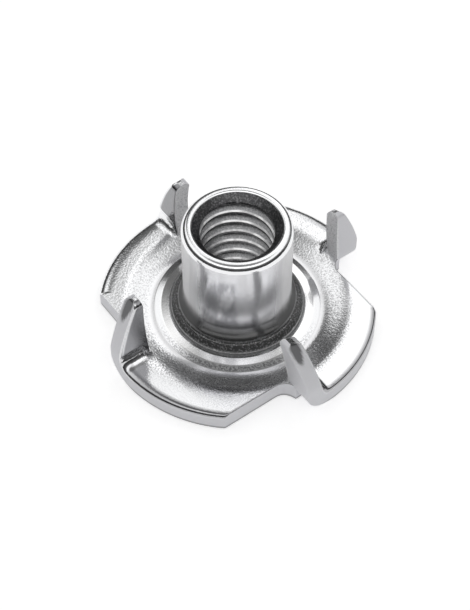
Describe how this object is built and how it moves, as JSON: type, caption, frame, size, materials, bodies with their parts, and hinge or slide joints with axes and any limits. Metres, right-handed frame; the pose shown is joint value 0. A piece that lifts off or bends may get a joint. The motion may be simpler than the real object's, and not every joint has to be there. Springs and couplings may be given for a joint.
{
  "type": "tee nut",
  "caption": "Stamped steel tee nut: round flange, drawn barrel with a threaded bore, and prongs folded up from the rim that bite into wood.",
  "frame": {"origin": "on the axis of the bore, at the underside of the flange", "axes": "+Z along the bore from the flange to the mouth of the barrel; the inner face of one prong lies over +X"},
  "size_m": [0.0196, 0.0196, 0.0095],
  "materials": {
    "zinc_plate": "bright zinc plating on steel, satin on the drawn barrel and matte on the sheared edges"
  },
  "bodies": {
    "root": {"tee_nut": "zinc_plate"}
  },
  "joints": []
}
